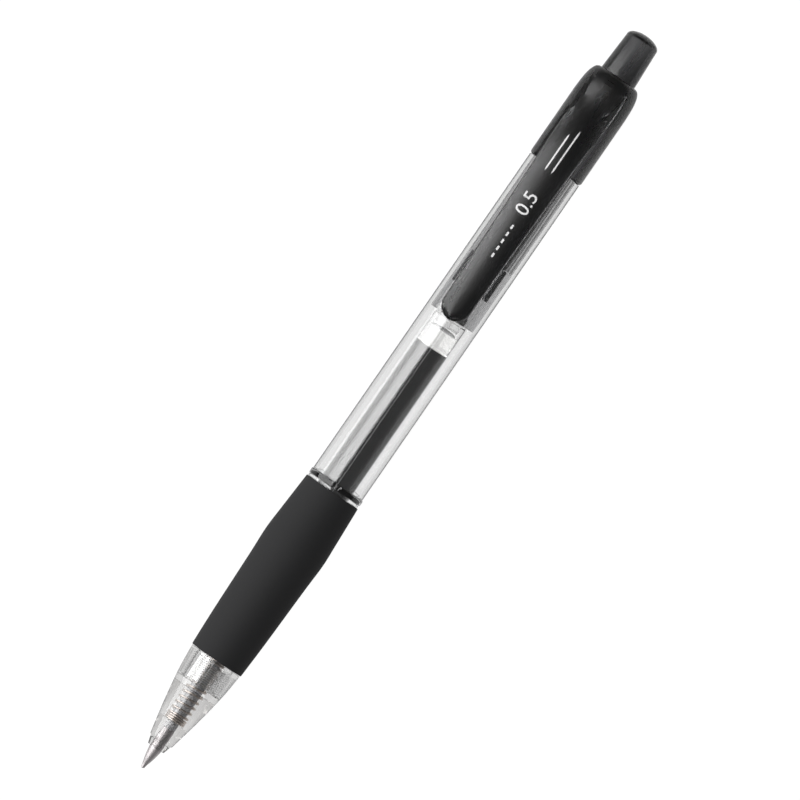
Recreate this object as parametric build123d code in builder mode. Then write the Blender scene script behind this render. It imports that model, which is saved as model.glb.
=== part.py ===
from build123d import *
import os
from math import cos, pi, radians, sin

# Retractable gel pen with a clear barrel. Millimetres. The origin is the writing point on the pen's axis,
# +X runs along the axis to the push button and +Z passes through the clip. The tip is out, ready to write.

# --- driving dimensions: x stations along the pen, radii about its axis ---------------------------
pen_length = 142.0
running_gap = 0.05  # between a moving shaft and its guide, on the radius
seated_gap = 0.02  # between pieces pushed together for good

ball_radius = 0.25
ball_gap = 0.012
metal_tip_end = 7.7
metal_tip_radius = 1.07

nose_mouth = 3.87
nose_end = 20.85
nose_end_radius = 4.6
spring_seat = 8.95
spring_chamber_radius = 2.0
spring_chamber_end = 14.9
relief_radius = 2.95
socket_start = 16.0
socket_radius = 3.68

thread_lead = 0.72
thread_starts = 2  # ridges side by side, so that half the lead lies between neighbours
thread_turns = 5
thread_start = 16.4
thread_height = 0.23
thread_base_width = 0.2
thread_top_width = 0.08
thread_root = 0.05  # how deep a thread's foot is sunk in its wall

spigot_front = 16.15
spigot_radius = 3.35
grip_start = 20.95
grip_end = 53.6
grip_seat_radius = 3.9
collar_start = 54.15
collar_end = 55.05
collar_radius = 4.92
barrel_end = 116.12
barrel_radius = 4.75
barrel_bore = 4.12
window_bore_start = 55.0
refill_bore = 3.15
refill_bore_start = 22.0
refill_bore_end = 54.2
mouth_bore = 3.0
mouth_bore_end = 21.5

grip_peak = 42.9
grip_peak_radius = 5.5
grip_rear_radius = 4.93
grip_front_line = ((27.7, 5.01), (38.0, 5.31))
grip_rear_point = (46.9, 5.31)
grip_edge_rounding = 0.3

refill_radius = 2.92
ink_radius = 2.2
tube_start = 23.2
tube_end = 86.6
ink_start = 28.4
ink_end = 81.6
follower_end = 84.6
tail_end = 86.95

spring_radius = 1.66  # to the middle of the wire
wire_radius = 0.17
spring_front = 9.15
spring_rear = 21.4
spring_shoulder = 21.6

sleeve_start = 87.1
sleeve_end = 127.0
sleeve_radius = 4.07
sleeve_bore = 3.3
cam_count = 4
land_start = 98.2
land_end = 116.0
land_inner = 2.9
land_root = 3.55  # where a land is sunk in the sleeve's wall
land_width = 2.3
window_start = 92.35
window_end = 98.1
window_width = 0.86

rotor_start = 87.05
rotor_end = 97.65
rotor_radius = 2.05
crown_radius = 2.6
rib_start = 92.5
rib_end = 97.3
rib_outer = 3.12
rib_width = 1.1
tooth_count = 8
tooth_depth = 0.5
tooth_half_width = 0.75

button_front = 98.0
button_stem_radius = land_inner - running_gap
button_bore = 2.1
button_step_start = 122.5
button_step_end = 123.0
button_flange_start = 126.2
button_flange_end = 127.0
button_flange_radius = sleeve_bore - running_gap
button_radius = 3.16
button_dome_start = 140.7
button_dome_radius = 2.82
button_top_wall = 1.15

cap_start = 116.2
cap_shoulder = 129.0
cap_end = 133.9
cap_radius = 4.87
cap_front_chamfer = 0.35
cap_bore = sleeve_radius + seated_gap
cap_cavity_radius = 3.5
cap_wall_start = 132.5
notch_half_width = 3.81
notch_end = 126.2

clip_tip = 86.75
clip_thickness = 1.35
clip_hinge = (126.2, 5.18)  # x and z of the line that the clip bends about
knuckle_radius = clip_thickness / 2
knuckle_gap = 0.12
clip_round_start = 89.2  # where the clip's round tip begins
clip_plan_end = 128.0
clip_sides = [(116.2, 3.13), (104.0, 2.8), (clip_round_start, 2.5)]  # x and half width, towards the tip
clip_upper_line = [(120.5, 6.85), (112.0, 7.25), (95.0, 7.1), (clip_tip, 6.5)]  # x and z
clip_bump_line = [(clip_tip, 5.7), (88.2, 5.1), (89.7, 4.9), (91.5, 5.15), (94.0, 5.65), (97.0, 5.78)]
clip_lower_line = [(97.0, 5.78), (112.0, 5.9), (120.2, 5.5)]
clip_edge_rounding = 0.45


# --- helpers ----------------------------------------------------------------------------------------
def outline(*points):
    """A closed face in the XZ plane with straight sides, from (x, radius) corners."""
    with BuildSketch(Plane.XZ) as face:
        with BuildLine():
            Polyline(*points, close=True)
        make_face()
    return face.sketch


def ring(start, end, inner, outer):
    """The outline of a plain tube or, with an inner radius of 0, of a rod."""
    return outline((start, inner), (end, inner), (end, outer), (start, outer))


def facing(angle, radius):
    """A plane at a radius from the axis, turned by an angle from +Z, with its x along the pen."""
    out = Vector(0, sin(radians(angle)), cos(radians(angle)))
    return Plane(origin=out * radius, x_dir=(1, 0, 0), z_dir=out)


def helix_ridge(radius, start, height):
    """One right-handed thread ridge on a wall of a radius. It stands inwards if its height is below 0."""
    path = Helix(thread_lead, thread_lead * thread_turns, radius, center=(start, 0, 0), direction=(1, 0, 0))
    section = Plane(origin=path @ 0, x_dir=((path @ 0) - Vector(start, 0, 0)).normalized(), z_dir=path % 0)
    foot = thread_base_width / 2
    top = thread_top_width / 2
    sink = -thread_root if height > 0 else thread_root
    with BuildSketch(section) as tooth:
        with BuildLine():
            Polyline((sink, -foot), (height, -top), (height, top), (sink, foot), close=True)
        make_face()
    return sweep(tooth.sketch, path=path, is_frenet=True, mode=Mode.PRIVATE)


def coil(radius, wire, start, end, dead_front, dead_rear, open_pitch):
    """A compression spring of round wire with closed coils at both ends."""
    dead_pitch = 2.12 * wire
    open_turns = (end - start - dead_pitch * (dead_front + dead_rear)) / open_pitch
    turns = dead_front + open_turns + dead_rear
    steps_per_turn = 12
    count = round(turns * steps_per_turn)
    points = []
    x = start
    for step in range(count + 1):
        turn = turns * step / count
        points.append((x, radius * cos(2 * pi * turn), radius * sin(2 * pi * turn)))
        is_open = dead_front <= turn < turns - dead_rear
        x += (open_pitch if is_open else dead_pitch) * turns / count
    path = Spline(*points, mode=Mode.PRIVATE)
    with BuildSketch(Plane(origin=path @ 0, z_dir=path % 0)) as section:
        Circle(wire)
    return sweep(section.sketch, path=path, is_frenet=True, mode=Mode.PRIVATE)


# --- refill -----------------------------------------------------------------------------------------
with BuildPart() as writing_ball:
    with Locations((ball_radius, 0, 0)):
        Sphere(ball_radius)

lip = 0.13
shank_end = 11.0
shank_radius = 0.8
tip_channel = 0.36
with BuildPart() as tip_body:
    with BuildSketch(Plane.XZ):
        with BuildLine():
            Line((lip, 0), (lip, 0.3))
            Spline((lip, 0.3), (0.75, 0.42), (2.0, 0.76), (3.6, metal_tip_radius))
            Polyline(
                (3.6, metal_tip_radius),
                (metal_tip_end, metal_tip_radius),
                (metal_tip_end, shank_radius),
                (shank_end, shank_radius),
                (shank_end, 0),
                (lip, 0),
            )
        make_face()
    revolve(axis=Axis.X)
    revolve(outline((0.3, 0), (0.6, 0.18), (0.9, tip_channel), (shank_end, tip_channel), (shank_end, 0)),
            axis=Axis.X, mode=Mode.SUBTRACT)
    with Locations((ball_radius, 0, 0)):
        Sphere(ball_radius + ball_gap, mode=Mode.SUBTRACT)

tip_wire = 0.05
tip_spring_radius = 0.22
tip_spring_end = 9.0
rod_end = 2.2
with BuildPart() as tip_spring:
    with BuildSketch(Plane.YZ.offset(2 * ball_radius + 0.02)):
        Circle(tip_wire)
    extrude(amount=rod_end - 2 * ball_radius)
    with Locations((rod_end + 0.1, 0, 0)):
        Cylinder(tip_spring_radius + tip_wire, 0.24, rotation=(0, 90, 0))
    add(coil(tip_spring_radius, tip_wire, rod_end + 0.1, tip_spring_end, 2, 3, 0.34))

stem_radius = 1.25
holder_rear = 28.2
valve_ball_radius = 0.8
valve_chamber_radius = 1.1
valve_seat = 21.2
with BuildPart() as tip_holder:
    revolve(
        outline(
            (metal_tip_end + seated_gap, shank_radius + seated_gap),
            (metal_tip_end + seated_gap, 1.0),
            (10.2, 1.05),
            (11.2, stem_radius),
            (spring_shoulder, stem_radius),
            (spring_shoulder, 2.3),
            (22.3, refill_radius),
            (tube_start - seated_gap, refill_radius),
            (tube_start - seated_gap, ink_radius - seated_gap),
            (holder_rear, ink_radius - seated_gap),
            (holder_rear, valve_chamber_radius),
            (valve_seat, valve_chamber_radius),
            (valve_seat - 0.6, 0.55),
            (shank_end + seated_gap, 0.55),
            (shank_end + seated_gap, shank_radius + seated_gap),
        ),
        axis=Axis.X,
    )

valve_ball_centre = 22.2
with BuildPart() as valve_ball:
    with Locations((valve_ball_centre, 0, 0)):
        Sphere(valve_ball_radius)

with BuildPart() as ink_tube:
    revolve(ring(tube_start, tube_end, ink_radius, refill_radius), axis=Axis.X)

meniscus_rise = 0.35
ink_fill_radius = ink_radius - seated_gap
meniscus_radius = (ink_fill_radius**2 + meniscus_rise**2) / (2 * meniscus_rise)
with BuildPart() as ink:
    with BuildSketch(Plane.XZ):
        with BuildLine():
            Polyline(
                (ink_end, 0),
                (ink_start, 0),
                (ink_start, ink_fill_radius),
                (ink_end - meniscus_rise, ink_fill_radius),
            )
            RadiusArc((ink_end - meniscus_rise, ink_fill_radius), (ink_end, 0), meniscus_radius)
        make_face()
    revolve(axis=Axis.X)

follower_start = ink_end + seated_gap
with BuildPart() as follower:
    with BuildSketch(Plane.XZ):
        with BuildLine():
            Polyline(
                (follower_start, 0),
                (follower_end, 0),
                (follower_end, ink_fill_radius),
                (follower_start - meniscus_rise, ink_fill_radius),
            )
            RadiusArc(
                (follower_start - meniscus_rise, ink_fill_radius),
                (follower_start, 0),
                meniscus_radius,
            )
        make_face()
    revolve(axis=Axis.X)

vent_radius = 0.4
plug_start = 85.3
with BuildPart() as tail_plug:
    revolve(
        outline(
            (plug_start, vent_radius),
            (plug_start, ink_radius - seated_gap),
            (tube_end + seated_gap, ink_radius - seated_gap),
            (tube_end + seated_gap, refill_radius - 0.1),
            (tail_end, refill_radius - 0.1),
            (tail_end, vent_radius),
        ),
        axis=Axis.X,
    )

# --- return spring ----------------------------------------------------------------------------------
with BuildPart() as return_spring:
    add(coil(spring_radius, wire_radius, spring_front, spring_rear, 3, 2, 1.02))

# --- nose cone --------------------------------------------------------------------------------------
mouth_radius = 1.52
mouth_collar_radius = 1.92
collar_step = 5.35
cone_start_radius = 2.1
cone_line = ((10.5, 3.17), (16.2, 4.15))
passage_radius = 1.2
with BuildPart() as nose_cone:
    with BuildSketch(Plane.XZ):
        with BuildLine():
            Polyline(
                (nose_mouth, passage_radius),
                (nose_mouth, mouth_radius),
                (collar_step, mouth_collar_radius),
                (collar_step, cone_start_radius),
            )
            Spline((collar_step, cone_start_radius), *cone_line, (nose_end, nose_end_radius))
            Polyline(
                (nose_end, nose_end_radius),
                (nose_end, socket_radius),
                (socket_start, socket_radius),
                (socket_start, relief_radius),
                (spring_chamber_end, relief_radius),
                (spring_chamber_end, spring_chamber_radius),
                (spring_seat, spring_chamber_radius),
                (spring_seat, passage_radius),
                (nose_mouth, passage_radius),
            )
        make_face()
    revolve(axis=Axis.X)
    for index in range(thread_starts):
        ridge_start = thread_start + thread_lead * (index + 0.5) / thread_starts
        add(helix_ridge(socket_radius, ridge_start, -thread_height))

# --- barrel and grip --------------------------------------------------------------------------------
with BuildPart() as clear_barrel:
    revolve(
        outline(
            (spigot_front, mouth_bore),
            (spigot_front, spigot_radius),
            (grip_start - 0.05, spigot_radius),
            (grip_start - 0.05, grip_seat_radius),
            (grip_end + 0.05, grip_seat_radius),
            (grip_end + 0.05, barrel_radius),
            (collar_start, barrel_radius),
            (collar_start, collar_radius),
            (collar_end, collar_radius),
            (collar_end, barrel_radius),
            (barrel_end, barrel_radius),
            (barrel_end, barrel_bore),
            (window_bore_start, barrel_bore),
            (refill_bore_end, refill_bore),
            (refill_bore_start, refill_bore),
            (mouth_bore_end, mouth_bore),
        ),
        axis=Axis.X,
    )
    for index in range(thread_starts):
        add(helix_ridge(spigot_radius, thread_start + thread_lead * index / thread_starts, thread_height))

with BuildPart() as grip:
    with BuildSketch(Plane.XZ):
        with BuildLine():
            Polyline(
                (grip_end, grip_rear_radius),
                (grip_end, grip_seat_radius + seated_gap),
                (grip_start, grip_seat_radius + seated_gap),
                (grip_start, barrel_radius),
            )
            Spline(
                (grip_start, barrel_radius),
                *grip_front_line,
                (grip_peak, grip_peak_radius),
                grip_rear_point,
                (grip_end, grip_rear_radius),
            )
        make_face()
    revolve(axis=Axis.X)
    grip_edges = grip.edges().filter_by(GeomType.CIRCLE).filter_by(lambda e: e.radius > 4.5)
    fillet(grip_edges, radius=grip_edge_rounding)

# --- cam sleeve and rotor ---------------------------------------------------------------------------
cam_slope = 0.5
with BuildPart() as cam_sleeve:
    revolve(ring(sleeve_start, sleeve_end, sleeve_bore, sleeve_radius), axis=Axis.X)
    for index in range(cam_count):
        with BuildSketch(facing(360 / cam_count * index, land_inner)):
            with BuildLine():
                Polyline(
                    (land_start, -land_width / 2),
                    (land_end, -land_width / 2),
                    (land_end, land_width / 2),
                    (land_start + cam_slope, land_width / 2),
                    close=True,
                )
            make_face()
        extrude(amount=land_root - land_inner)
        with BuildSketch(facing(360 / cam_count * (index + 0.5), sleeve_bore - 0.2)):
            with Locations(((window_start + window_end) / 2, 0)):
                Rectangle(window_end - window_start, window_width)
        extrude(amount=1.2, mode=Mode.SUBTRACT)

pin_radius = 1.85
pin_end = 101.0
with BuildPart() as cam_rotor:
    revolve(
        outline(
            (rotor_start, 0),
            (rotor_start, 2.3),
            (88.2, 2.3),
            (88.6, rotor_radius),
            (95.2, rotor_radius),
            (95.8, crown_radius),
            (rotor_end, crown_radius),
            (rotor_end, 0),
        ),
        axis=Axis.X,
    )
    for index in range(tooth_count // 2):
        with BuildSketch(facing(360 / tooth_count * (index + 0.5), 0)):
            with BuildLine():
                Polyline((rotor_end - tooth_depth, 0), (rotor_end, -0.75), (rotor_end, 0.75), close=True)
            make_face()
        extrude(amount=crown_radius + 1, both=True, mode=Mode.SUBTRACT)
    revolve(ring(90.0, pin_end, 0, pin_radius), axis=Axis.X)
    for index in range(cam_count):
        with BuildSketch(facing(360 / cam_count * (index + 0.5), pin_radius - 0.3)):
            with BuildLine():
                Polyline(
                    (rib_start, -rib_width / 2),
                    (rib_end - cam_slope / 2, -rib_width / 2),
                    (rib_end, rib_width / 2),
                    (rib_start, rib_width / 2),
                    close=True,
                )
            make_face()
        extrude(amount=rib_outer - pin_radius + 0.3)

# --- push button ------------------------------------------------------------------------------------
lug_start = 105.0
lug_end = 109.0
lug_width = 1.0
lug_outer = 3.1
button_guide_radius = 3.05
with BuildPart() as push_button:
    with BuildSketch(Plane.XZ):
        with BuildLine():
            Polyline(
                (pen_length - button_top_wall, 0),
                (pen_length - button_top_wall, button_bore),
                (button_front, button_bore),
                (button_front, button_stem_radius),
                (button_step_start, button_stem_radius),
                (button_step_end, button_guide_radius),
                (button_flange_start, button_guide_radius),
                (button_flange_start, button_flange_radius),
                (button_flange_end, button_flange_radius),
                (button_flange_end, button_radius),
                (cap_end, button_radius),
                (button_dome_start, button_dome_radius),
            )
            EllipticalCenterArc(
                (button_dome_start, 0),
                pen_length - button_dome_start,
                button_dome_radius,
                start_angle=0,
                arc_size=90,
            )
            Line((pen_length, 0), (pen_length - button_top_wall, 0))
        make_face()
    revolve(axis=Axis.X)
    for index in range(tooth_count // 2):
        with BuildSketch(facing(360 / tooth_count * index, 0)):
            with BuildLine():
                Polyline(
                    (button_front + tooth_depth, 0),
                    (button_front, -tooth_half_width),
                    (button_front, tooth_half_width),
                    close=True,
                )
            make_face()
        extrude(amount=button_stem_radius + 1, both=True, mode=Mode.SUBTRACT)
    for index in range(cam_count):
        with BuildSketch(facing(360 / cam_count * (index + 0.5), button_stem_radius - 0.3)):
            with Locations(((lug_start + lug_end) / 2, 0)):
                Rectangle(lug_end - lug_start, lug_width)
        extrude(amount=lug_outer - button_stem_radius + 0.3)

# --- rear cap and clip ------------------------------------------------------------------------------
fairing_half_width = 3.55
fairing_edge_rounding = 0.5
fairing_floor = 3.5
fairing_crown = (129.2, 5.3)
fairing_end = (131.9, 4.62)
wing_corner = 0.8
flared = notch_half_width + wing_corner
hole_radius = button_radius + running_gap
with BuildPart() as clip_cap:
    with BuildSketch(Plane.XZ):
        with BuildLine():
            Polyline(
                (cap_shoulder, cap_radius),
                (cap_start + cap_front_chamfer, cap_radius),
                (cap_start, cap_radius - cap_front_chamfer),
                (cap_start, 3.0),
                (cap_end, 3.0),
                (cap_end, 3.75),
            )
            Spline((cap_end, 3.75), (133.3, 4.2), (132.0, 4.62), (cap_shoulder, cap_radius),
                   tangents=((-0.3, 1), (-1, 0)))
        make_face()
    revolve(axis=Axis.X)
    with BuildSketch(Plane.XZ):
        with BuildLine():
            Polyline(
                fairing_end,
                (fairing_end[0], fairing_floor),
                (notch_end, fairing_floor),
                (notch_end, clip_hinge[1] + knuckle_radius),
            )
            Spline((notch_end, clip_hinge[1] + knuckle_radius), fairing_crown, fairing_end)
        make_face()
    extrude(amount=fairing_half_width, both=True)
    fairing_edges = clip_cap.edges().filter_by(
        lambda e: e.center().Z > 5.0
        and abs(e.center().Y) > fairing_half_width - 0.1
        and e.center().X > notch_end + 1
    )
    fillet(fairing_edges, radius=fairing_edge_rounding)
    with BuildSketch(Plane.XY):
        with BuildLine():
            Polyline((notch_end, 0), (cap_start - 1, 0), (cap_start - 1, flared), (cap_start, flared))
            RadiusArc((cap_start, flared), (cap_start + wing_corner, notch_half_width), -wing_corner)
            Polyline(
                (cap_start + wing_corner, notch_half_width),
                (notch_end, notch_half_width),
                (notch_end, 0),
            )
        make_face()
        mirror(about=Plane.XZ)
    extrude(amount=8, mode=Mode.SUBTRACT)
    with BuildSketch(Plane.XZ):
        with Locations(clip_hinge):
            Circle(knuckle_radius + knuckle_gap)
    extrude(amount=notch_half_width, both=True, mode=Mode.SUBTRACT)
    revolve(ring(cap_start - 1, sleeve_end + 0.1, 0, cap_bore), axis=Axis.X, mode=Mode.SUBTRACT)
    revolve(ring(sleeve_end, cap_wall_start, 0, cap_cavity_radius), axis=Axis.X, mode=Mode.SUBTRACT)
    revolve(ring(cap_wall_start - 1, cap_end + 1, 0, hole_radius), axis=Axis.X, mode=Mode.SUBTRACT)

with BuildPart() as clip:
    hinge_x, hinge_z = clip_hinge
    with BuildSketch(Plane.XZ):
        with BuildLine():
            Spline((hinge_x, hinge_z + knuckle_radius), *clip_upper_line)
            Line(clip_upper_line[-1], clip_bump_line[0])
            Spline(*clip_bump_line)
            Spline(*clip_lower_line, (hinge_x, hinge_z - knuckle_radius))
            ThreePointArc(
                (hinge_x, hinge_z - knuckle_radius),
                (hinge_x + knuckle_radius, hinge_z),
                (hinge_x, hinge_z + knuckle_radius),
            )
        make_face()
    extrude(amount=5, both=True)
    with BuildSketch(Plane.XY):
        with BuildLine():
            Line((clip_plan_end, -fairing_half_width), (clip_plan_end, fairing_half_width))
            Spline((clip_plan_end, fairing_half_width), *clip_sides)
            round_x, round_y = clip_sides[-1]
            ThreePointArc((round_x, round_y), (clip_tip, 0), (round_x, -round_y))
            Spline(*[(x, -y) for x, y in reversed(clip_sides)], (clip_plan_end, -fairing_half_width))
        make_face()
    extrude(amount=10, mode=Mode.INTERSECT)
    upper = clip.edges().filter_by(lambda e: e.center().Z > 6.0 and abs(e.center().Y) > 2.0)
    fillet(upper, radius=clip_edge_rounding)

# --- written pieces ---------------------------------------------------------------------------------
os.makedirs("parts", exist_ok=True)

writing_ball.part.label = "writing_ball"
tip_body.part.label = "tip_body"
tip_spring.part.label = "tip_spring"
tip_holder.part.label = "tip_holder"
valve_ball.part.label = "valve_ball"
ink_tube.part.label = "ink_tube"
ink.part.label = "ink"
follower.part.label = "follower"
tail_plug.part.label = "tail_plug"
return_spring.part.label = "return_spring"
nose_cone.part.label = "nose_cone"
clear_barrel.part.label = "clear_barrel"
grip.part.label = "grip"
cam_sleeve.part.label = "cam_sleeve"
cam_rotor.part.label = "cam_rotor"
push_button.part.label = "push_button"
clip_cap.part.label = "clip_cap"
clip.part.label = "clip"

export_step(writing_ball.part, "parts/writing_ball.step")
export_step(tip_body.part, "parts/tip_body.step")
export_step(tip_spring.part, "parts/tip_spring.step")
export_step(tip_holder.part, "parts/tip_holder.step")
export_step(valve_ball.part, "parts/valve_ball.step")
export_step(ink_tube.part, "parts/ink_tube.step")
export_step(ink.part, "parts/ink.step")
export_step(follower.part, "parts/follower.step")
export_step(tail_plug.part, "parts/tail_plug.step")
export_step(return_spring.part, "parts/return_spring.step")
export_step(nose_cone.part, "parts/nose_cone.step")
export_step(clear_barrel.part, "parts/clear_barrel.step")
export_step(grip.part, "parts/grip.step")
export_step(cam_sleeve.part, "parts/cam_sleeve.step")
export_step(cam_rotor.part, "parts/cam_rotor.step")
export_step(push_button.part, "parts/push_button.step")
export_step(clip_cap.part, "parts/clip_cap.step")
export_step(clip.part, "parts/clip.step")
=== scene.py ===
from math import asin, atan, cos, pi, radians, sin

import bmesh
import bpy
from mathutils import Matrix, Vector

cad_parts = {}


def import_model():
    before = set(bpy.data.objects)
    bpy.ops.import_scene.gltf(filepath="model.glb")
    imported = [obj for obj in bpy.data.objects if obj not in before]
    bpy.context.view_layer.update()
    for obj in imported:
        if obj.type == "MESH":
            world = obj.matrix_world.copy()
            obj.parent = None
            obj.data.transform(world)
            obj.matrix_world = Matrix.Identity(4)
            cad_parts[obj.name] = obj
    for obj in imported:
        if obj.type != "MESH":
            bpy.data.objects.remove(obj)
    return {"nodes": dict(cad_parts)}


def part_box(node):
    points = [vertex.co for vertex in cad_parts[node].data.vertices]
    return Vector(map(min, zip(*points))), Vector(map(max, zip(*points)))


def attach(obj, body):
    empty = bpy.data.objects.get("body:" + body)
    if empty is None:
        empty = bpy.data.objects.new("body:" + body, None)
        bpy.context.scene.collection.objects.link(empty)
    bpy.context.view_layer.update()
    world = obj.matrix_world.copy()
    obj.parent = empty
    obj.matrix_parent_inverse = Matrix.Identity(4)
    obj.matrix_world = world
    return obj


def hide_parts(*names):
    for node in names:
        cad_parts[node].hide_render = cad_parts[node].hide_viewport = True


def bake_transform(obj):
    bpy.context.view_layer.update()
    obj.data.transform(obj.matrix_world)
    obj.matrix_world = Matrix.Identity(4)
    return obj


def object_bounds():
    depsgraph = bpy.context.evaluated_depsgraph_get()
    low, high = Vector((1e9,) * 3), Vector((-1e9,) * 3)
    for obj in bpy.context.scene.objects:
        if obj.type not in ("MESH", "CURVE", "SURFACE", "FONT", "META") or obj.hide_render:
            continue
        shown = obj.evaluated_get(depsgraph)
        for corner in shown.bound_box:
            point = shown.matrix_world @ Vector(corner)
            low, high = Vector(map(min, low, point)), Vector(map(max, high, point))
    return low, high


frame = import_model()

# Retractable gel pen with a clear barrel, lying on a white studio table. Metres, in the CAD frame:
# +X from the writing point to the push button, +Z through the clip. Lengths below are written as mm * MM.

MM = 0.001
SEGMENTS = 160  # round a turned piece
SAME = 1e-9  # stations closer than this are the same
CAD_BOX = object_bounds()
NODES = frame["nodes"]


def low(node):
    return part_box(node)[0]


def high(node):
    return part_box(node)[1]


def mm(*points):
    """Points given in millimetres."""
    return [tuple(value * MM for value in point) for point in points]


# ---------------------------------------------------------------- curves
def smooth_run(points, steps=8):
    """A smooth curve through points, as a Catmull-Rom spline."""
    found = []
    for i in range(len(points) - 1):
        before = Vector(points[max(i - 1, 0)])
        a, b = Vector(points[i]), Vector(points[i + 1])
        after = Vector(points[min(i + 2, len(points) - 1)])
        for k in range(steps):
            t = k / steps
            found.append(
                0.5 * (2 * a + (b - before) * t + (2 * before - 5 * a + 4 * b - after) * t**2
                       + (3 * a - before - 3 * b + after) * t**3)
            )
    found.append(Vector(points[-1]))
    return [tuple(p) for p in found]


def soften(points, radius, closed=True, steps=4):
    """The outline with its sharp corners rounded off at about that radius."""
    count = len(points)
    found = []
    for i, point in enumerate(points):
        p = Vector(point)
        if p.y < 1e-7 or not closed and i in (0, count - 1):
            found.append(tuple(p))
            continue
        a, b = Vector(points[i - 1]) - p, Vector(points[(i + 1) % count]) - p
        turn = pi - a.angle(b, pi)
        if turn < radians(20):
            found.append(tuple(p))
            continue
        cut = min(radius * abs(sin(turn / 2) / cos(turn / 2)), 0.45 * a.length, 0.45 * b.length)
        start, end = p + a.normalized() * cut, p + b.normalized() * cut
        for k in range(steps + 1):
            t = k / steps
            found.append(tuple(start.lerp(p, t).lerp(p.lerp(end, t), t)))
    return found


def quarter_turn(steps):
    """Angles from 0 to a quarter of a turn."""
    return [pi / 2 * k / steps for k in range(steps + 1)]


def level(points, x):
    """The height at x on a run of (x, height) points, in order of x."""
    for (x0, h0), (x1, h1) in zip(points, points[1:]):
        if x <= x1:
            return h0 + (h1 - h0) * max(0.0, (x - x0) / (x1 - x0))
    return points[-1][1]


def share(value):
    """The value held between 0 and 1."""
    return min(max(value, 0), 1)


# ---------------------------------------------------------------- meshes
def mesh_object(name, verts, faces, sharp=35, closed=True):
    mesh = bpy.data.meshes.new(name)
    mesh.from_pydata(verts, [], faces)
    shape = bmesh.new()
    shape.from_mesh(mesh)
    bmesh.ops.remove_doubles(shape, verts=shape.verts, dist=1e-8)
    bmesh.ops.dissolve_degenerate(shape, edges=shape.edges, dist=1e-8)
    if closed and shape.calc_volume(signed=True) < 0:
        bmesh.ops.reverse_faces(shape, faces=shape.faces)
    shape.to_mesh(mesh)
    shape.free()
    piece = bpy.data.objects.new(name, mesh)
    bpy.context.scene.collection.objects.link(piece)
    shade(piece, sharp)
    return piece


def shade(piece, sharp=35):
    """Smooth shading with creases at sharp edges."""
    for polygon in piece.data.polygons:
        polygon.use_smooth = True
    piece.data.set_sharp_from_angle(angle=radians(sharp))


def turned(name, outline, swell=None, push=None, sharp=35, segments=SEGMENTS):
    """A closed outline of (x, radius) turned about the pen's axis.
    swell(x, radius, angle) is added to the radius, and push(x, radius, angle) to x."""
    verts, faces, rings = [], [], []
    for x, r in outline:
        ring = []
        for k in range(segments):
            angle = 2 * pi * k / segments
            radius = r + (swell(x, r, angle) if swell else 0)
            along = x + (push(x, r, angle) if push else 0)
            ring.append(len(verts))
            verts.append((along, radius * sin(angle), radius * cos(angle)))
        rings.append(ring)
    for ring, following in zip(rings, rings[1:] + rings[:1]):
        for k in range(segments):
            n = (k + 1) % segments
            faces.append([ring[k], following[k], following[n], ring[n]])
    return mesh_object(name, verts, faces, sharp)


def pipe(name, path, radius, sides=12):
    """A round wire along a list of points, closed at its ends."""
    verts, faces = [], []
    side = None
    for i, point in enumerate(path):
        ahead = (Vector(path[min(i + 1, len(path) - 1)]) - Vector(path[max(i - 1, 0)])).normalized()
        side = ahead.orthogonal() if side is None else side - ahead * side.dot(ahead)
        side.normalize()
        other = ahead.cross(side)
        for k in range(sides):
            angle = 2 * pi * k / sides
            verts.append(tuple(Vector(point) + radius * (side * cos(angle) + other * sin(angle))))
    for i in range(len(path) - 1):
        for k in range(sides):
            n = (k + 1) % sides
            faces.append([i * sides + k, i * sides + n, (i + 1) * sides + n, (i + 1) * sides + k])
    faces.append(list(range(sides))[::-1])
    faces.append([(len(path) - 1) * sides + k for k in range(sides)])
    return mesh_object(name, verts, faces, 60)


def prism(name, outline, z0, z1):
    """A closed outline of (x, y) stretched from z0 to z1."""
    count = len(outline)
    verts = [(x, y, z0) for x, y in outline] + [(x, y, z1) for x, y in outline]
    faces = [list(range(count)), [count + k for k in range(count)][::-1]]
    for k in range(count):
        n = (k + 1) % count
        faces.append([k, count + k, count + n, n])
    return mesh_object(name, verts, faces)


def combine(piece, other, operation):
    """The piece with the other one joined to it or cut from it; the other is used up."""
    modifier = piece.modifiers.new("combine", "BOOLEAN")
    modifier.object, modifier.operation, modifier.solver = other, operation, "EXACT"
    shape = bpy.context.evaluated_depsgraph_get()
    mesh = bpy.data.meshes.new_from_object(piece.evaluated_get(shape))
    piece.modifiers.clear()
    piece.data = mesh
    bpy.data.objects.remove(other)
    return piece


def place(piece, body, material, slot=None, *nodes):
    """The piece rides on a body, wears a material and stands for CAD nodes."""
    piece.data.materials.clear()
    piece.data.materials.append(material)
    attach(piece, body)
    if nodes:
        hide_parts(*nodes)
    return piece


# ---------------------------------------------------------------- thread
PITCH = 0.36 * MM  # from ridge to ridge; two ridges run side by side
THREAD_STARTS = 2
THREAD_RIDGES = 11
THREAD_START = 16.4 * MM
THREAD_HEIGHT = 0.23 * MM
THREAD_FOOT = 0.56  # share of the pitch
THREAD_TOP = 0.22
SPIGOT = 3.35 * MM
SOCKET = 3.68 * MM
SOCKET_START = 16.0 * MM

# ---------------------------------------------------------------- materials
def new_material(name):
    material = bpy.data.materials.new(name)
    material.use_nodes = True
    nodes, links = material.node_tree.nodes, material.node_tree.links
    return material, nodes, links, nodes["Principled BSDF"]


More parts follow.
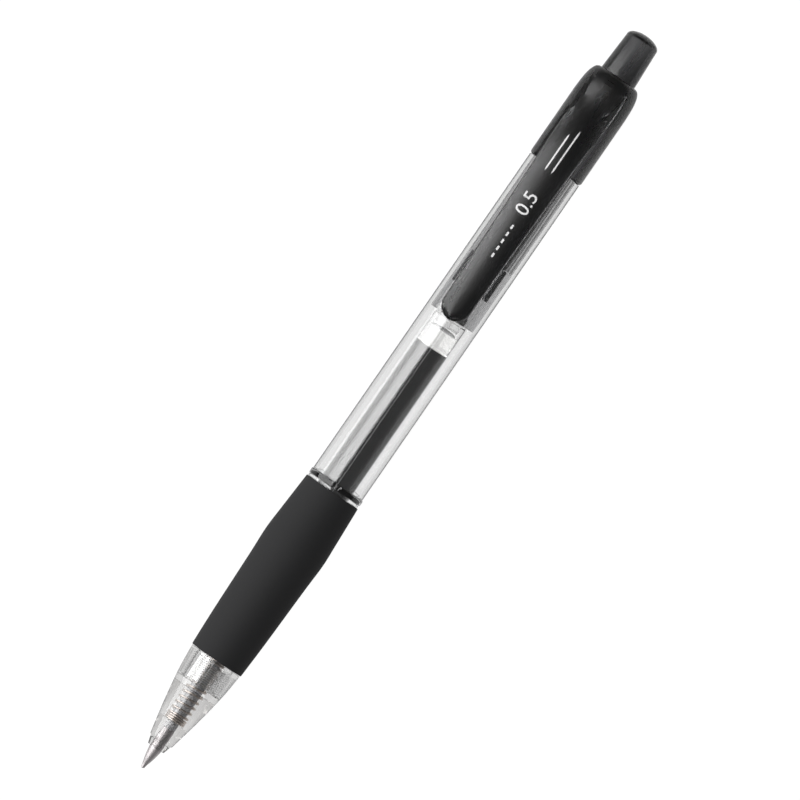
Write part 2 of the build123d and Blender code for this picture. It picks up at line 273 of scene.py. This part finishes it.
def stretched_noise(nodes, links, scale, detail=3.0):
    """Noise over the object, stretched by a different scale along each axis."""
    coordinates = nodes.new("ShaderNodeTexCoord")
    mapping = nodes.new("ShaderNodeMapping")
    mapping.inputs["Scale"].default_value = scale
    texture = nodes.new("ShaderNodeTexNoise")
    texture.inputs["Scale"].default_value = 1.0
    texture.inputs["Detail"].default_value = detail
    links.new(coordinates.outputs["Object"], mapping.inputs["Vector"])
    links.new(mapping.outputs["Vector"], texture.inputs["Vector"])
    return texture.outputs["Fac"]


def spread(nodes, links, value, lowest, highest):
    ramp = nodes.new("ShaderNodeMapRange")
    ramp.inputs["To Min"].default_value = lowest
    ramp.inputs["To Max"].default_value = highest
    links.new(value, ramp.inputs["Value"])
    return ramp.outputs["Result"]


def bump(nodes, links, shader, height, strength, distance):
    node = nodes.new("ShaderNodeBump")
    node.inputs["Strength"].default_value = strength
    node.inputs["Distance"].default_value = distance
    links.new(height, node.inputs["Height"])
    links.new(node.outputs["Normal"], shader.inputs["Normal"])


def clear_plastic(name, tint, density=0.0, roughness=0.01, waviness=0.02):
    """Moulded clear or smoky plastic: faint flow lines along the part and a slightly uneven gloss."""
    material, nodes, links, shader = new_material(name)
    shader.inputs["Base Color"].default_value = (1, 1, 1, 1)
    shader.inputs["Transmission Weight"].default_value = 1.0
    shader.inputs["IOR"].default_value = 1.49
    flow = stretched_noise(nodes, links, (60, 500, 500))
    links.new(spread(nodes, links, flow, roughness * 0.4, roughness * 1.6), shader.inputs["Roughness"])
    bump(nodes, links, shader, flow, waviness, 0.00003)
    if density:
        absorption = nodes.new("ShaderNodeVolumeAbsorption")
        absorption.inputs["Color"].default_value = (*tint, 1)
        absorption.inputs["Density"].default_value = density
        links.new(absorption.outputs["Volume"], nodes["Material Output"].inputs["Volume"])
    return material


def solid_plastic(name, dark, light, roughness, grain=3000.0, bumps=0.1, specular=0.5):
    """Opaque plastic, rubber or ink: two close tones in a fine grain, with the same grain in its gloss."""
    material, nodes, links, shader = new_material(name)
    speckle = stretched_noise(nodes, links, (grain, grain, grain), 4.0)
    ramp = nodes.new("ShaderNodeValToRGB")
    ramp.color_ramp.elements[0].color = (*dark, 1)
    ramp.color_ramp.elements[1].color = (*light, 1)
    links.new(speckle, ramp.inputs["Fac"])
    links.new(ramp.outputs["Color"], shader.inputs["Base Color"])
    links.new(spread(nodes, links, speckle, roughness * 0.85, roughness * 1.15), shader.inputs["Roughness"])
    shader.inputs["Specular IOR Level"].default_value = specular
    bump(nodes, links, shader, speckle, bumps, 0.00002)
    return material


def turned_metal(name, colour, roughness, rings=9000.0):
    """Metal turned on a lathe: fine rings about the axis."""
    material, nodes, links, shader = new_material(name)
    shader.inputs["Metallic"].default_value = 1.0
    lines = stretched_noise(nodes, links, (rings, 40, 40), 2.0)
    ramp = nodes.new("ShaderNodeValToRGB")
    ramp.color_ramp.elements[0].color = (*[c * 0.86 for c in colour], 1)
    ramp.color_ramp.elements[1].color = (*colour, 1)
    links.new(lines, ramp.inputs["Fac"])
    links.new(ramp.outputs["Color"], shader.inputs["Base Color"])
    links.new(spread(nodes, links, lines, roughness * 0.7, roughness * 1.3), shader.inputs["Roughness"])
    bump(nodes, links, shader, lines, 0.08, 0.00001)
    return material


CLEAR = clear_plastic("clear_moulded_plastic", (1, 1, 1))
CLEAR_NOSE = clear_plastic("clear_nose_plastic", (0.74, 0.73, 0.72), density=260.0, roughness=0.02)
REFILL_CLEAR = clear_plastic("refill_tube_plastic", (0.9, 0.91, 0.9), density=10.0, roughness=0.03)
SMOKY_SLEEVE = clear_plastic("smoky_sleeve_plastic", (0.3, 0.3, 0.31), density=760.0)
SMOKY_BLACK = clear_plastic("smoky_black_plastic", (0.1, 0.1, 0.105), density=2200.0, roughness=0.3)
SMOKY_BUTTON = clear_plastic("smoky_button_plastic", (0.1, 0.1, 0.11), density=1900.0, roughness=0.22)
GREASE = clear_plastic("follower_grease", (0.97, 0.95, 0.85), density=25.0, roughness=0.05)
MILKY = solid_plastic("milky_holder_plastic", (0.4, 0.4, 0.42), (0.48, 0.48, 0.49), 0.25)
BLACK = clear_plastic("black_cam_plastic", (0.1, 0.1, 0.1), density=800.0, roughness=0.3)
PALE = clear_plastic("pale_plug_plastic", (0.9, 0.9, 0.88), density=60.0, roughness=0.3)
INK = solid_plastic(
    "black_gel_ink", (0.004, 0.004, 0.005), (0.007, 0.007, 0.008), 0.12, grain=900.0, bumps=0.02
)
RUBBER = solid_plastic(
    "matte_black_rubber", (0.018, 0.018, 0.0185), (0.025, 0.025, 0.026), 0.8,
    grain=5000.0, bumps=0.25, specular=0.2,
)
PRINT = solid_plastic("white_print", (0.78, 0.78, 0.78), (0.85, 0.85, 0.85), 0.5)
METAL = turned_metal("turned_nickel_silver", (0.5, 0.475, 0.48), 0.5)
STEEL = turned_metal("polished_ball_steel", (0.62, 0.62, 0.64), 0.12, 2000.0)
COPPER = turned_metal("drawn_spring_wire", (0.6, 0.53, 0.48), 0.3, 3000.0)

# ---------------------------------------------------------------- thread cutting
def ridge(x, angle, start):
    """How much of a thread's full height stands at x and at that angle."""
    along = (x - start) / PITCH + THREAD_STARTS * angle / (2 * pi)
    nearest = round(along)
    if not 0 <= nearest <= THREAD_RIDGES:
        return 0.0
    return min(1.0, max(0.0, (THREAD_FOOT / 2 - abs(along - nearest)) / (THREAD_FOOT / 2 - THREAD_TOP / 2)))


def threaded_wall(start, end, radius, steps=8):
    """Outline points close enough together for a thread to be cut between two stations."""
    count = round(abs(end - start) / PITCH * steps)
    return [(start + (end - start) * k / count, radius) for k in range(1, count)]


# ---------------------------------------------------------------- front end
def nose_cone():
    x_low, x_high = low("nose_cone").x, high("nose_cone").x
    front = mm((5.3, 1.92), (5.35, 1.96))
    cone = smooth_run(mm((5.35, 2.1), (10.5, 3.17), (16.2, 4.15)) + [(x_high, 4.6 * MM)], 10)
    outside = [(x_low, 1.2 * MM), (x_low, 1.52 * MM), *front, *cone, (x_high, SOCKET)]
    chamber = mm((16.0, 2.95), (14.9, 2.95), (14.9, 2.0), (8.95, 2.0), (8.95, 1.2))
    inside = [(SOCKET_START, SOCKET), *chamber]
    outline = soften(outside, 0.06 * MM, closed=False)
    outline += threaded_wall(x_high, SOCKET_START, SOCKET)
    outline += soften(inside, 0.08 * MM, closed=False)

    def swell(x, r, angle):
        on_thread = abs(r - SOCKET) < SAME
        return -THREAD_HEIGHT * ridge(x, angle, THREAD_START + PITCH / 2) if on_thread else 0.0

    piece = turned("nose_shell", outline, swell=swell)
    return place(piece, "nose", CLEAR_NOSE, "clear_front", "nose_cone")


def barrel():
    x_low, x_high = low("clear_barrel").x, high("clear_barrel").x
    collar = high("clear_barrel").y
    wall = 4.75 * MM
    shoulder, seat_end = low("grip").x - 0.05 * MM, high("grip").x + 0.05 * MM
    thread_run = x_low + 0.2 * MM
    outline = soften([(x_low, 3.0 * MM), (x_low, SPIGOT), (thread_run, SPIGOT)], 0.05 * MM, closed=False)
    outline += threaded_wall(thread_run, shoulder, SPIGOT)
    seat = 3.9 * MM
    collar_start, collar_end = 54.15 * MM, 55.05 * MM
    rest = [(shoulder, SPIGOT), (shoulder, seat), (seat_end, seat), (seat_end, wall)]
    rest += [(collar_start, wall), (collar_start, collar), (collar_end, collar), (collar_end, wall)]
    rest.append((x_high, wall))
    rest += [(x_high, 4.12 * MM), *mm((55.0, 4.12), (54.2, 3.15), (22.0, 3.15), (21.5, 3.0))]
    outline += soften(rest, 0.1 * MM, closed=False)

    def swell(x, r, angle):
        return THREAD_HEIGHT * ridge(x, angle, THREAD_START) if abs(r - SPIGOT) < SAME else 0.0

    piece = turned("barrel_shell", outline, swell=swell)
    return place(piece, "barrel", CLEAR, "clear_barrel", "clear_barrel")


def grip():
    x_low, x_high = low("grip").x, high("grip").x
    front, peak = mm((27.7, 5.01), (38.0, 5.31)), (42.9 * MM, high("grip").y)
    rear = [(46.9 * MM, 5.31 * MM), (x_high, 4.93 * MM)]
    hump = smooth_run([(x_low, 4.72 * MM), *front, peak, *rear], 12)
    outline = soften(hump + [(x_high, 3.92 * MM), (x_low, 3.92 * MM)], 0.45 * MM, steps=6)
    return place(turned("grip_sleeve", outline), "barrel", RUBBER, "black_rubber", "grip")


# ---------------------------------------------------------------- refill
INK_RADIUS = 2.27 * MM  # it wets the tube's wall, so it reaches into it by a hair


def refill():
    x0, x1 = low("ink_tube").x, high("ink_tube").x
    outer = high("ink_tube").y
    tube = soften([(x0, 2.2 * MM), (x1, 2.2 * MM), (x1, outer), (x0, outer)], 0.08 * MM)
    place(turned("refill_tube", tube), "refill", REFILL_CLEAR, "refill_tube", "ink_tube")
    x0, x1 = low("ink").x, high("ink").x
    top = [(x1 - 0.35 * MM * (k / 8) ** 2, INK_RADIUS * k / 8) for k in range(9)]
    place(turned("ink_column", [(x0, 0), *top, (x0, INK_RADIUS)]), "refill", INK, "black_ink", "ink")
    x2 = high("follower").x
    grease = [(x + 0.02 * MM, r) for x, r in top]
    rear = [(x2 - 0.3 * MM * (1 - (k / 6) ** 2), INK_RADIUS * k / 6) for k in range(7)]
    place(turned("grease_plug", grease + rear[::-1]), "refill", GREASE, "follower_grease", "follower")


def metal_tip():
    box_low, box_high = low("tip_body"), high("tip_body")
    radius = box_high.y
    point = smooth_run([(box_low.x, 0.3 * MM), *mm((0.75, 0.42), (2.0, 0.76)), (3.6 * MM, radius)], 8)
    shank = [(7.7 * MM, radius), (7.7 * MM, 0.8 * MM), (box_high.x, 0.8 * MM), (box_high.x, 0.36 * MM)]
    mouth = [(0.9 * MM, 0.36 * MM), (0.5 * MM, 0.2 * MM), (box_low.x, 0.24 * MM)]
    piece = turned("metal_tip", soften(point + shank + mouth, 0.04 * MM))
    return place(piece, "refill", METAL, "tip_metal", "tip_body")


def tip_holder():
    x0, x1 = low("tip_holder").x, high("tip_holder").x
    outer = high("tip_holder").y
    outside = [(x0, 0.82 * MM), (x0, 1.0 * MM), *mm((10.2, 1.05), (11.2, 1.25), (21.6, 1.25), (21.6, 2.3)),
               (22.3 * MM, outer), (23.18 * MM, outer), (23.18 * MM, 2.18 * MM), (x1, 2.18 * MM)]
    inside = [(x1, 1.1 * MM), *mm((21.2, 1.1), (20.6, 0.55), (11.02, 0.55), (11.02, 0.82))]
    piece = turned("refill_holder", soften(outside + inside, 0.06 * MM), segments=96)
    return place(piece, "refill", MILKY, "holder_plastic", "tip_holder")


def return_spring():
    """Copper wire, closed at both ends."""
    radius, wire = 1.66 * MM, 0.17 * MM
    start, end = 9.15 * MM, 21.4 * MM
    dead_front, dead_rear, dead_pitch, open_pitch = 3, 2, 0.36 * MM, 1.02 * MM
    opening = 0.4  # turns over which the coils open up
    open_turns = (end - start - dead_pitch * (dead_front + dead_rear)) / open_pitch
    turns = dead_front + open_turns + dead_rear
    steps = round(turns * 40)
    path = []
    x = start
    for k in range(steps + 1):
        turn = turns * k / steps
        path.append((x, radius * cos(2 * pi * turn), radius * sin(2 * pi * turn)))
        opened = share((turn - dead_front) / opening) * share((turns - dead_rear - turn) / opening)
        x += (dead_pitch + (open_pitch - dead_pitch) * opened) * turns / steps
    piece = pipe("coil_spring", path, wire, 14)
    piece.data.materials.append(COPPER)
    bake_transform(piece)
    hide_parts("return_spring")
    return piece


# ---------------------------------------------------------------- rear end
def cam_sleeve():
    """The smoky guide tube: four lands inside, cam grooves between them, and four narrow windows."""
    x0, x1 = low("cam_sleeve").x, high("cam_sleeve").x
    outer, bore, land = high("cam_sleeve").y, 3.3 * MM, 2.9 * MM
    land_start, land_middle, land_end = 98.2 * MM, 107 * MM, 116.0 * MM
    land_half = 1.15 * MM
    step = 0.01 * MM
    stations = (land_end + step, land_end, land_middle, land_start, land_start - step)
    outline = soften([(x0, bore), (x0, outer), (x1, outer), (x1, bore)], 0.08 * MM, closed=False)
    outline += [(x, bore) for x in stations]

    def swell(x, r, angle):
        off = (angle + pi / 4) % (pi / 2) - pi / 4
        along = abs(r - bore) < SAME and land_start <= x <= land_end
        on_land = along and abs(off) < atan(land_half / land)
        return land / cos(off) - bore if on_land else 0.0

    piece = turned("guide_sleeve", outline, swell=swell)
    for k in range(4):
        slot = mm((92.35, -0.43), (98.1, -0.43), (98.1, 0.43), (92.35, 0.43))
        window = prism("window", slot, 2.5 * MM, 5 * MM)
        window.data.transform(Matrix.Rotation(pi / 4 + k * pi / 2, 4, "X"))
        combine(piece, window, "DIFFERENCE")
    shade(piece)
    return place(piece, "barrel", SMOKY_SLEEVE, "smoky_sleeve", "cam_sleeve")


def push_button():
    """The hollow button: crown teeth at its front end, four guide ribs and a thick domed top."""
    x0, x1 = low("push_button").x, high("push_button").x
    stem, bore, dome_start, dome = 2.85 * MM, 2.1 * MM, 140.7 * MM, 2.82 * MM
    lug_start, lug_end, lug_half, lug_height = 105 * MM, 109 * MM, 0.5 * MM, 0.25 * MM
    step = 0.01 * MM
    body = [(x, stem) for x in (x0, lug_start - step, lug_start, lug_end, lug_end + step)]
    body += mm((122.5, 2.85), (123.0, 3.05), (126.2, 3.05), (126.2, 3.25), (127.0, 3.25))
    body += mm((127.0, 3.16), (133.9, 3.16))
    top = [(dome_start + (x1 - dome_start) * sin(a), dome * cos(a)) for a in quarter_turn(14)]
    hollow = [(x1 - 1.15 * MM, 0), (x1 - 1.15 * MM, bore), (x0, bore)]
    outline = body + top + soften(hollow, 0.1 * MM, closed=False)

    def swell(x, r, angle):
        off = (angle % (pi / 2)) - pi / 4
        along = abs(r - stem) < SAME and lug_start <= x <= lug_end
        on_lug = along and abs(off) < asin(lug_half / stem)
        return lug_height if on_lug else 0.0

    def push(x, r, angle):
        return 0.5 * MM * (1 - abs((angle / (pi / 4)) % 2 - 1)) if abs(x - x0) < SAME else 0.0

    piece = turned("push_button_shell", outline, swell=swell, push=push)
    return place(piece, "button", SMOKY_BUTTON, "smoky_button", "push_button")


# The clip's top and underside, as (x, height)
CLIP_TOP_FRONT = mm((86.6, 6.36), (88.5, 6.68), (95.0, 7.1), (104.0, 7.27), (112.0, 7.25), (120.5, 6.85))
CLIP_TOP_REAR = mm((125.0, 6.0), (128.0, 5.2), (130.0, 4.86), (131.9, 4.6))
CLIP_TOP = smooth_run(CLIP_TOP_FRONT + CLIP_TOP_REAR, 6)
CLIP_BUMP = mm((86.6, 5.75), (88.2, 5.1), (89.7, 4.9), (91.5, 5.15), (94.0, 5.65), (97.0, 5.78))
CLIP_UNDER = smooth_run(CLIP_BUMP + mm((112.0, 5.9), (120.2, 5.5), (126.2, 4.5), (131.9, 3.6)), 6)
CLIP_HALF = smooth_run(mm((89.2, 2.5), (104.0, 2.8), (116.2, 3.13), (128.0, 3.5), (131.9, 3.3)), 10)
CLIP_CROWN = mm((86.6, 0.35), (112.0, 0.4), (120.0, 0.7), (126.0, 1.25), (131.9, 1.5))
CLIP_EDGE = 0.5 * MM
PRINT_LIFT = 0.012 * MM


def clip_plan():
    """Stations round one side of the clip as seen from above: (x, half width, outward normal)."""
    tip_x, tip_start = low("clip").x, 89.2 * MM
    points = []
    for a in quarter_turn(12):
        points.append((tip_start - (tip_start - tip_x) * cos(a), CLIP_HALF[0][1] * sin(a)))
    points += CLIP_HALF[1:]
    stations = []
    for i, (x, half) in enumerate(points):
        if i == 0:
            stations.append((x, half, Vector((-1, 0))))
            continue
        before, after = points[i - 1], points[min(i + 1, len(points) - 1)]
        along = Vector((after[0] - before[0], after[1] - before[1])).normalized()
        stations.append((x, half, Vector((-along.y, along.x))))
    return stations


def clip_height(x, across):
    """Height of the clip's crowned top; across is 0 on its middle line and 1 at its edges."""
    return level(CLIP_TOP, x) - level(CLIP_CROWN, x) * across**2


def clip_plate():
    """The clip as sections across it, with a rounded edge that runs right round its tip."""
    arc, width = 5, 14
    sections = []
    for x, half, out in clip_plan():
        side = [(x, half, level(CLIP_UNDER, x) + CLIP_EDGE * 0.3)]
        edge = clip_height(x, 1) - CLIP_EDGE
        for a in quarter_turn(arc):
            inward = CLIP_EDGE * (1 - cos(a))
            side.append((x - out.x * inward, max(half - out.y * inward, 0), edge + CLIP_EDGE * sin(a)))
        last_x, last_half, _ = side[-1]
        top = []
        for k in range(1, width):
            across = 1 - 2 * k / width
            top.append((last_x, last_half * across, clip_height(last_x, across)))
        base = (x - out.x * CLIP_EDGE * 0.3, max(half - out.y * CLIP_EDGE * 0.3, 0), level(CLIP_UNDER, x))
        right = [base, *side]
        left = [(px, -py, pz) for px, py, pz in right]
        sections.append(right + top + left[::-1])
    count = len(sections[0])
    verts = [point for section in sections for point in section]
    faces = []
    for i in range(len(sections) - 1):
        for k in range(count):
            n = (k + 1) % count
            faces.append([i * count + k, i * count + n, (i + 1) * count + n, (i + 1) * count + k])
    faces.append(list(range(count)))
    faces.append([(len(sections) - 1) * count + k for k in range(count)][::-1])
    return mesh_object("clip_plate", verts, faces)


def cap_and_clip():
    """The smoky cap, its notched skirt and the clip, which are one moulding."""
    x0, x1 = low("clip_cap").x, high("clip_cap").x
    outer = high("clip_cap").y
    rounding = mm((131.2, 4.74), (132.7, 4.45), (133.6, 4.0))
    shoulder = smooth_run([(129.0 * MM, outer), *rounding, (x1, 3.5 * MM)], 5)
    front = [(x0, outer - 0.4 * MM), (x0 + 0.1 * MM, outer - 0.15 * MM), (x0 + 0.4 * MM, outer)]
    outline = [(x0, 4.09 * MM), *front, *shoulder, (x1, 3.21 * MM)]
    outline += mm((132.5, 3.21), (132.5, 3.5), (127.1, 3.5), (127.1, 4.09))
    cap = turned("cap_and_clip", soften(outline, 0.08 * MM))
    half, corner, front_x = 3.81, 0.8, 116.2
    flare = [(front_x + corner * (1 - cos(a)), half + corner * (1 - sin(a))) for a in quarter_turn(8)]
    side = [(115.0, half + corner), *flare, (125.6, half), (126.2, half - 0.6)]
    notch = prism("notch", mm(*side, *[(x, -y) for x, y in side[::-1]]), 0.0, 8 * MM)
    combine(cap, notch, "DIFFERENCE")
    combine(cap, clip_plate(), "UNION")
    shade(cap, 30)
    cap.data.materials.clear()
    cap.data.materials.append(SMOKY_BLACK)
    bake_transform(cap)
    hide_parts("clip_cap", "clip")


def printed(name, text, x, y, size):
    """White print on the clip's crowned top."""
    curve = bpy.data.curves.new(name, "FONT")
    curve.body, curve.size, curve.resolution_u = text, size, 6
    letters = bpy.data.objects.new(name, curve)
    bpy.context.scene.collection.objects.link(letters)
    mesh = bpy.data.meshes.new_from_object(letters.evaluated_get(bpy.context.evaluated_depsgraph_get()))
    bpy.data.objects.remove(letters)
    piece = bpy.data.objects.new(name, mesh)
    bpy.context.scene.collection.objects.link(piece)
    return lay_on_clip(piece, x, y)


def lay_on_clip(piece, x, y):
    """Bends a flat mesh to the clip's crowned top, a hair above it. The print has no thickness."""
    for vertex in piece.data.vertices:
        px, py = x + vertex.co.x, y + vertex.co.y
        half = level(CLIP_HALF, px) - CLIP_EDGE
        vertex.co = (px, py, clip_height(px, py / half) + PRINT_LIFT)
    return place(piece, "clip", PRINT)


def bar(name, x0, x1, y, width):
    """A plain printed line that tapers to a point at each end."""
    count = 12
    upper = [((x1 - x0) * k / count, width / 2, 0) for k in range(1, count)]
    lower = [(px, -width / 2, 0) for px, _, _ in upper]
    verts = [(0, 0, 0), *upper, (x1 - x0, 0, 0), *lower[::-1]]
    faces = [[0, 1, len(verts) - 1]]
    faces += [[k, k + 1, len(verts) - 1 - k, len(verts) - k] for k in range(1, count - 1)]
    faces.append([count - 1, count, count + 1])
    return lay_on_clip(mesh_object(name, verts, faces, closed=False), x0, y)


def clip_print():
    printed("size_mark", "0.5", 107.0 * MM, -1.05 * MM, 3.3 * MM)
    for k in range(5):
        bar(f"print_tick_{k}", (98.8 + 1.35 * k) * MM, (99.6 + 1.35 * k) * MM, -0.2 * MM, 0.34 * MM)
    bar("print_line_upper", 115.0 * MM, 122.0 * MM, 0.7 * MM, 0.26 * MM)
    bar("print_line_lower", 115.0 * MM, 123.4 * MM, -0.5 * MM, 0.26 * MM)


def cad_materials():
    """CAD nodes that stay as they are get a finished material."""
    chosen = {
        "cam_rotor": BLACK,
        "tail_plug": PALE,
        "valve_ball": STEEL,
        "writing_ball": STEEL,
        "tip_spring": STEEL,
    }
    for node, material in chosen.items():
        for spot in NODES[node].material_slots:
            spot.material = material


# ---------------------------------------------------------------- studio
def floor():
    """A white table. It fills in white for the camera and lights the pen as a pale grey."""
    reach = 0.9
    middle = Vector((0.071, 0, CAD_BOX[0][2]))
    corners = [tuple(middle + Vector((a, b, 0)) * reach) for a, b in ((-1, -1), (1, -1), (1, 1), (-1, 1))]
    piece = mesh_object("floor", corners, [[0, 1, 2, 3]], closed=False)
    material, nodes, links, shader = new_material("white_table")
    shader.inputs["Base Color"].default_value = (0.05, 0.05, 0.05, 1)
    shader.inputs["Roughness"].default_value = 1.0
    shader.inputs["Specular IOR Level"].default_value = 0.0
    shader.inputs["Emission Color"].default_value = (1, 1, 1, 1)
    path = nodes.new("ShaderNodeLightPath")
    strength = spread(nodes, links, path.outputs["Is Camera Ray"], 0.75, 1.0)
    links.new(strength, shader.inputs["Emission Strength"])
    piece.data.materials.append(material)


def area_light(name, x, angle, distance, length, width, radiance):
    """A soft box along the pen. The angle is from straight up, towards the clip's left side."""
    aim = Vector((x, 0, 0))
    away = Vector((0, sin(radians(angle)), cos(radians(angle))))
    light = bpy.data.lights.new(name, "AREA")
    light.shape = "RECTANGLE"
    light.size, light.size_y = length, width
    light.energy = radiance * pi * length * width
    piece = bpy.data.objects.new(name, light)
    bpy.context.scene.collection.objects.link(piece)
    along = Vector((1, 0, 0))
    turn = Matrix((along, away.cross(along), away)).transposed()
    piece.matrix_world = Matrix.Translation(aim + away * distance) @ turn.to_4x4()


def lights():
    area_light("left_soft_box", -0.02, 46, 0.5, 0.44, 0.68, 4.2)
    area_light("top_strip", 0.071, -4, 0.9, 0.8, 0.04, 1.6)


def world():
    scene = bpy.context.scene
    scene.world = bpy.data.worlds.new("studio")
    scene.world.use_nodes = True
    nodes, links = scene.world.node_tree.nodes, scene.world.node_tree.links
    path = nodes.new("ShaderNodeLightPath")
    strength = spread(nodes, links, path.outputs["Is Camera Ray"], 0.22, 1.0)
    links.new(strength, nodes["Background"].inputs["Strength"])
    nodes["Background"].inputs["Color"].default_value = (1, 1, 1, 1)
    scene.view_settings.view_transform = "Standard"
    scene.cycles.max_bounces = 32
    scene.cycles.transmission_bounces = 32


def camera():
    """Above the pen and a little to the clip's right, far away, with the pen lying across the view."""
    elevation, lean = radians(85.4), radians(34.59)
    towards = Vector((0, -cos(elevation), sin(elevation)))
    pen = Vector((1, 0, 0))
    across = towards.cross(pen)
    right = pen * sin(lean) - across * cos(lean)
    up = pen * cos(lean) + across * sin(lean)
    target = pen * 71.78 * MM - across * 0.57 * MM
    distance, width = 2.2, 127.8 * MM
    lens = bpy.data.cameras.new("camera")
    lens.sensor_width = 36.0
    lens.lens = 36.0 * distance / width
    lens.clip_end = 10.0
    piece = bpy.data.objects.new("camera", lens)
    bpy.context.scene.collection.objects.link(piece)
    turn = Matrix((right, up, towards)).transposed()
    piece.matrix_world = Matrix.Translation(target + towards * distance) @ turn.to_4x4()
    bpy.context.scene.camera = piece


camera()
world()
floor()
lights()
nose_cone()
barrel()
grip()
refill()
metal_tip()
tip_holder()
return_spring()
cam_sleeve()
push_button()
cap_and_clip()
clip_print()
cad_materials()
